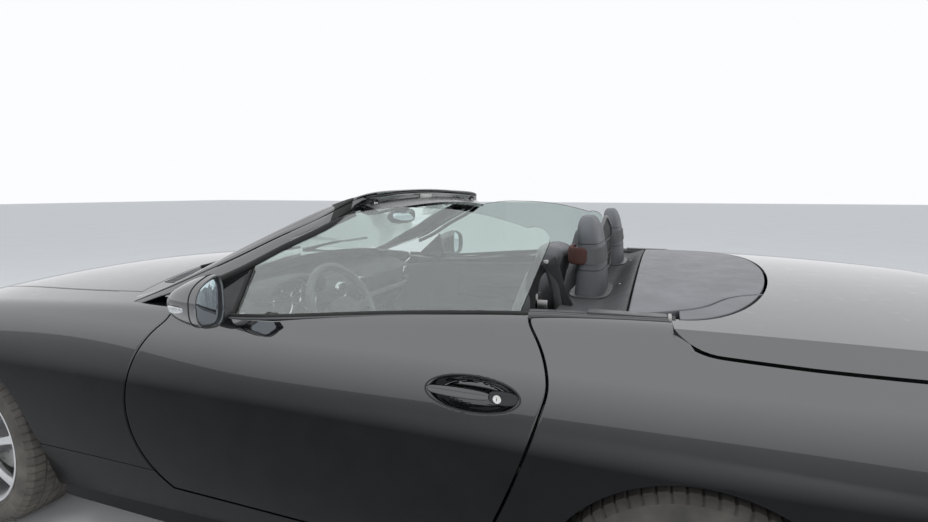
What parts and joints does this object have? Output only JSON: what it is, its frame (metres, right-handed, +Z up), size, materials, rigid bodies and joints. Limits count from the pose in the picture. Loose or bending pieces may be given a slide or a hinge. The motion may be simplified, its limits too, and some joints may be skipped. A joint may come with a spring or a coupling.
{
  "type": "two-seat convertible car",
  "caption": "Low open two-seat roadster with its hard roof stowed, hinged doors, bonnet and boot lid, steered front wheels and rolling road wheels.",
  "frame": {"origin": "on the ground under the middle of the car", "axes": "+X to the tail, +Y to the car's right, +Z up"},
  "size_m": [4.082, 1.946, 1.236],
  "materials": {
    "paint": "black gloss paint",
    "bumper_paint": "black gloss paint on plastic",
    "underbody": "dull black coating",
    "glass": "clear, light green tint",
    "lamp": "clear lamp cover",
    "tail_lamp": "red lamp cover",
    "trim": "grained black plastic",
    "grille": "satin black slats",
    "leather": "anthracite leather",
    "hoop": "grey grained plastic",
    "deflector": "black mesh in a frame",
    "steel": "plain steel",
    "iron": "raw casting",
    "rim": "silver lacquer",
    "tyre": "dusty tread"
  },
  "bodies": {
    "body": {"front_bumper": "bumper_paint", "cowl": "paint", "front_fender_left": "paint", "front_fender_right": "paint", "headlamps": "lamp", "grille": "grille", "rear_bumper": "bumper_paint", "rear_quarter_left": "paint", "rear_quarter_right": "paint", "rear_deck": "paint", "tail_lamps": "tail_lamp", "sill_left": "bumper_paint", "sill_right": "bumper_paint", "windscreen_frame": "paint", "windscreen": "glass", "front_frame": "underbody", "floorpan": "underbody", "boot_tub": "underbody", "dashboard": "trim", "console": "trim", "seat_left": "leather", "seat_right": "leather", "roll_hoops": "hoop", "wind_deflector": "deflector", "engine_block": "iron", "front_axle": "iron", "rear_axle": "iron", "exhaust": "steel"},
    "bonnet": {"bonnet": "paint"},
    "boot_lid": {"boot_lid": "paint"},
    "door_left": {"door_left": "paint", "door_glass_left": "glass", "mirror_left": "bumper_paint"},
    "door_right": {"door_right": "paint", "door_glass_right": "glass", "mirror_right": "bumper_paint"},
    "steering_wheel": {"steering_wheel": "leather"},
    "knuckle_left": {"knuckle_left": "iron"},
    "knuckle_right": {"knuckle_right": "iron"},
    "wheel_front_left": {"rim_front_left": "rim", "tyre_front_left": "tyre"},
    "wheel_front_right": {"rim_front_right": "rim", "tyre_front_right": "tyre"},
    "wheel_rear_left": {"rim_rear_left": "rim", "tyre_rear_left": "tyre"},
    "wheel_rear_right": {"rim_rear_right": "rim", "tyre_rear_right": "tyre"}
  },
  "joints": [
    {"name": "door_left_hinge", "type": "hinge", "parent": "body", "child": "door_left", "pos_m": [-0.339, -0.858, 0.6], "axis": [0, 0, -1], "range_deg": [0, 65]},
    {"name": "door_right_hinge", "type": "hinge", "parent": "body", "child": "door_right", "pos_m": [-0.339, 0.858, 0.6], "axis": [0, 0, 1], "range_deg": [0, 65]},
    {"name": "bonnet_hinge", "type": "hinge", "parent": "body", "child": "bonnet", "pos_m": [-0.5, 0, 0.93], "axis": [0, 1, 0], "range_deg": [0, 50]},
    {"name": "boot_lid_hinge", "type": "hinge", "parent": "body", "child": "boot_lid", "pos_m": [1.15, 0, 0.972], "axis": [0, -1, 0], "range_deg": [0, 60]},
    {"name": "steer_left", "type": "hinge", "parent": "body", "child": "knuckle_left", "pos_m": [-1.199, -0.7, 0.317], "axis": [0, 0, 1], "range_deg": [-36, 36]},
    {"name": "steer_right", "type": "hinge", "parent": "body", "child": "knuckle_right", "pos_m": [-1.199, 0.7, 0.317], "axis": [0, 0, 1], "range_deg": [-36, 36]},
    {"name": "steering_wheel_turn", "type": "hinge", "parent": "body", "child": "steering_wheel", "pos_m": [0.07, -0.36, 0.81], "axis": [0.9063, 0, 0.4226], "range_deg": [-540, 540]},
    {"name": "wheel_front_left_spin", "type": "hinge", "parent": "knuckle_left", "child": "wheel_front_left", "pos_m": [-1.199, -0.765, 0.317], "axis": [0, 1, 0], "continuous": true},
    {"name": "wheel_front_right_spin", "type": "hinge", "parent": "knuckle_right", "child": "wheel_front_right", "pos_m": [-1.199, 0.765, 0.317], "axis": [0, 1, 0], "continuous": true},
    {"name": "wheel_rear_left_spin", "type": "hinge", "parent": "body", "child": "wheel_rear_left", "pos_m": [1.231, -0.7705, 0.317], "axis": [0, 1, 0], "continuous": true},
    {"name": "wheel_rear_right_spin", "type": "hinge", "parent": "body", "child": "wheel_rear_right", "pos_m": [1.231, 0.7705, 0.317], "axis": [0, 1, 0], "continuous": true}
  ],
  "couplings": [
    {"joint": "steer_right", "follows": "steer_left", "ratio": 1},
    {"joint": "steering_wheel_turn", "follows": "steer_left", "ratio": 15}
  ]
}
